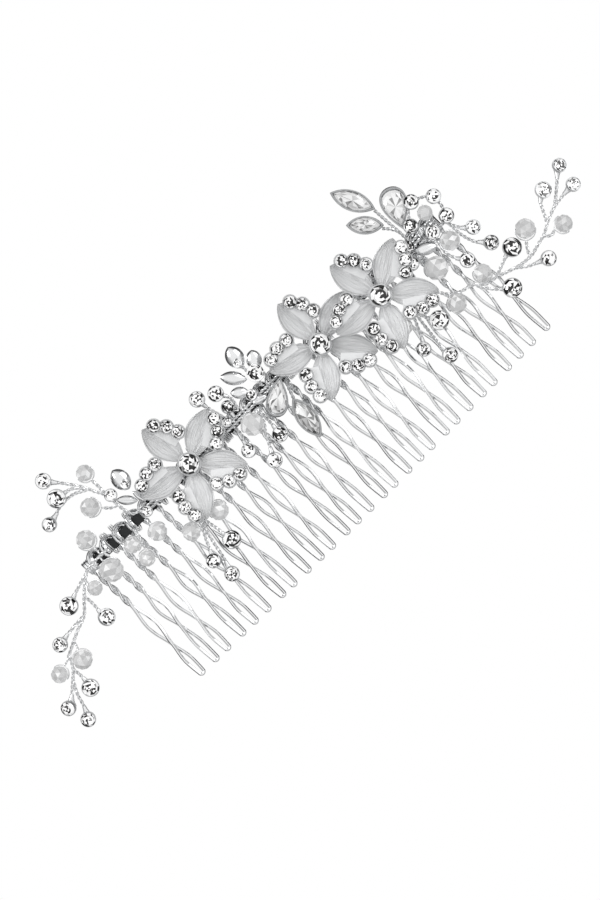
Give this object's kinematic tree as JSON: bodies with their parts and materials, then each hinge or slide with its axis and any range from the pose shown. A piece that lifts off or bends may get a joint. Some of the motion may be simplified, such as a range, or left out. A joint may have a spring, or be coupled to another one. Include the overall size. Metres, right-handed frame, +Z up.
{
  "type": "decorative hair comb",
  "caption": "Wire hair comb whose spine carries pave metal flowers, sprigs of set stones, polished leaves and faceted crystals that turn on wire loops.",
  "frame": {"origin": "middle of the spine, at the seat that the hair reaches when the comb is worn", "axes": "+X along the spine towards the long sprig on the wearer's view right, +Z up away from the tine tips, -Y towards the decorated front"},
  "size_m": [0.1691, 0.0136, 0.0596],
  "materials": {
    "spine_metal": "polished",
    "comb_wire": "polished wire",
    "stem_wire": "twisted polished wire",
    "binding_wire": "fine polished wire",
    "petal_metal": "satin, with fine lengthwise lines",
    "cup_metal": "polished",
    "leaf_metal": "mirror polished",
    "clear_stone": "foil-backed cut stone",
    "crystal": "milky faceted glass"
  },
  "bodies": {
    "root": {"spine_bar": "spine_metal", "spine_loops": "comb_wire", "tines_far_left": "comb_wire", "tines_mid_left": "comb_wire", "tines_mid_right": "comb_wire", "tines_far_right": "comb_wire", "garland_wires": "comb_wire", "binding_wire": "binding_wire", "flower_left_petals": "petal_metal", "flower_left_centre_cup": "cup_metal", "flower_left_stones": "clear_stone", "flower_middle_petals": "petal_metal", "flower_middle_centre_cup": "cup_metal", "flower_middle_stones": "clear_stone", "flower_right_petals": "petal_metal", "flower_right_centre_cup": "cup_metal", "flower_right_stones": "clear_stone", "sprig_left_wires": "stem_wire", "sprig_left_cups": "cup_metal", "sprig_left_stones": "clear_stone", "sprig_upper_wires": "stem_wire", "sprig_upper_cups": "cup_metal", "sprig_upper_stones": "clear_stone", "sprig_right_wires": "stem_wire", "sprig_right_cups": "cup_metal", "sprig_right_stones": "clear_stone", "drop_wires": "stem_wire", "drop_cups": "cup_metal", "drop_stones": "clear_stone", "spray_wires": "stem_wire", "rosette_cups": "cup_metal", "rosette_stones": "clear_stone", "accent_cups": "cup_metal", "accent_stones": "clear_stone", "marquise_settings": "cup_metal", "marquise_stones": "clear_stone", "teardrop_settings": "cup_metal", "teardrop_stones": "clear_stone", "leaves_upper": "leaf_metal", "leaves_middle": "leaf_metal", "leaves_right": "leaf_metal", "leaf_stones": "clear_stone", "bound_crystals": "crystal"},
    "crystal_left_sprig_body": {"crystal_left_sprig": "crystal"},
    "crystal_left_tip_body": {"crystal_left_tip": "crystal"},
    "crystal_spine_end_body": {"crystal_spine_end": "crystal"},
    "crystal_upper_top_body": {"crystal_upper_top": "crystal"},
    "crystal_upper_side_body": {"crystal_upper_side": "crystal"},
    "crystal_spine_left_body": {"crystal_spine_left": "crystal"},
    "crystal_spine_inner_body": {"crystal_spine_inner": "crystal"},
    "crystal_drop_left_body": {"crystal_drop_left": "crystal"},
    "crystal_middle_body": {"crystal_middle": "crystal"},
    "crystal_right_sprig_body": {"crystal_right_sprig": "crystal"},
    "crystal_right_tip_body": {"crystal_right_tip": "crystal"},
    "crystal_right_low_body": {"crystal_right_low": "crystal"},
    "crystal_right_corner_body": {"crystal_right_corner": "crystal"},
    "crystal_rosette_body": {"crystal_rosette": "crystal"},
    "crystal_rosette_low_body": {"crystal_rosette_low": "crystal"},
    "crystal_right_large_body": {"crystal_right_large": "crystal"}
  },
  "joints": [
    {"name": "left_sprig_spin", "type": "hinge", "parent": "root", "child": "crystal_left_sprig_body", "pos_m": [-0.0712, -0.0043, -0.0139], "axis": [-0.9397, 0, 0.342], "continuous": true},
    {"name": "left_tip_spin", "type": "hinge", "parent": "root", "child": "crystal_left_tip_body", "pos_m": [-0.0774, -0.0032, -0.0126], "axis": [-0.2756, 0, 0.9613], "continuous": true},
    {"name": "spine_end_spin", "type": "hinge", "parent": "root", "child": "crystal_spine_end_body", "pos_m": [-0.0516, -0.0022, 0.0049], "axis": [1, 0, 0], "continuous": true},
    {"name": "upper_top_spin", "type": "hinge", "parent": "root", "child": "crystal_upper_top_body", "pos_m": [-0.0411, -0.0029, 0.0158], "axis": [1, 0, 0], "continuous": true},
    {"name": "upper_side_spin", "type": "hinge", "parent": "root", "child": "crystal_upper_side_body", "pos_m": [-0.0457, -0.003, 0.0094], "axis": [0.7373, 0, 0.6756], "continuous": true},
    {"name": "spine_left_spin", "type": "hinge", "parent": "root", "child": "crystal_spine_left_body", "pos_m": [-0.0447, -0.0032, -0.008], "axis": [-0.866, 0, 0.5], "continuous": true},
    {"name": "spine_inner_spin", "type": "hinge", "parent": "root", "child": "crystal_spine_inner_body", "pos_m": [-0.0387, -0.0036, -0.0054], "axis": [-1, 0, 0], "continuous": true},
    {"name": "drop_left_spin", "type": "hinge", "parent": "root", "child": "crystal_drop_left_body", "pos_m": [-0.0333, -0.0046, -0.0109], "axis": [-0.7771, 0, 0.6293], "continuous": true},
    {"name": "middle_spin", "type": "hinge", "parent": "root", "child": "crystal_middle_body", "pos_m": [-0.0063, -0.0049, -0.0033], "axis": [-1, 0, 0], "continuous": true},
    {"name": "right_sprig_spin", "type": "hinge", "parent": "root", "child": "crystal_right_sprig_body", "pos_m": [0.0688, -0.0033, -0.0157], "axis": [0.766, 0, -0.6428], "continuous": true},
    {"name": "right_tip_spin", "type": "hinge", "parent": "root", "child": "crystal_right_tip_body", "pos_m": [0.0758, -0.0034, -0.0211], "axis": [-0.1564, 0, -0.9877], "continuous": true},
    {"name": "right_low_spin", "type": "hinge", "parent": "root", "child": "crystal_right_low_body", "pos_m": [0.0458, -0.0043, -0.0168], "axis": [-0.9962, 0, -0.0872], "continuous": true},
    {"name": "right_corner_spin", "type": "hinge", "parent": "root", "child": "crystal_right_corner_body", "pos_m": [0.0548, -0.0043, -0.016], "axis": [0.6018, 0, -0.7986], "continuous": true},
    {"name": "rosette_spin", "type": "hinge", "parent": "root", "child": "crystal_rosette_body", "pos_m": [0.0552, -0.004, 0.0029], "axis": [0.4695, 0, 0.8829], "continuous": true},
    {"name": "rosette_low_spin", "type": "hinge", "parent": "root", "child": "crystal_rosette_low_body", "pos_m": [0.0548, -0.0039, -0.0056], "axis": [-0.8192, 0, -0.5736], "continuous": true},
    {"name": "right_large_spin", "type": "hinge", "parent": "root", "child": "crystal_right_large_body", "pos_m": [0.0482, -0.0041, -0.0078], "axis": [-1, 0, 0], "continuous": true}
  ]
}
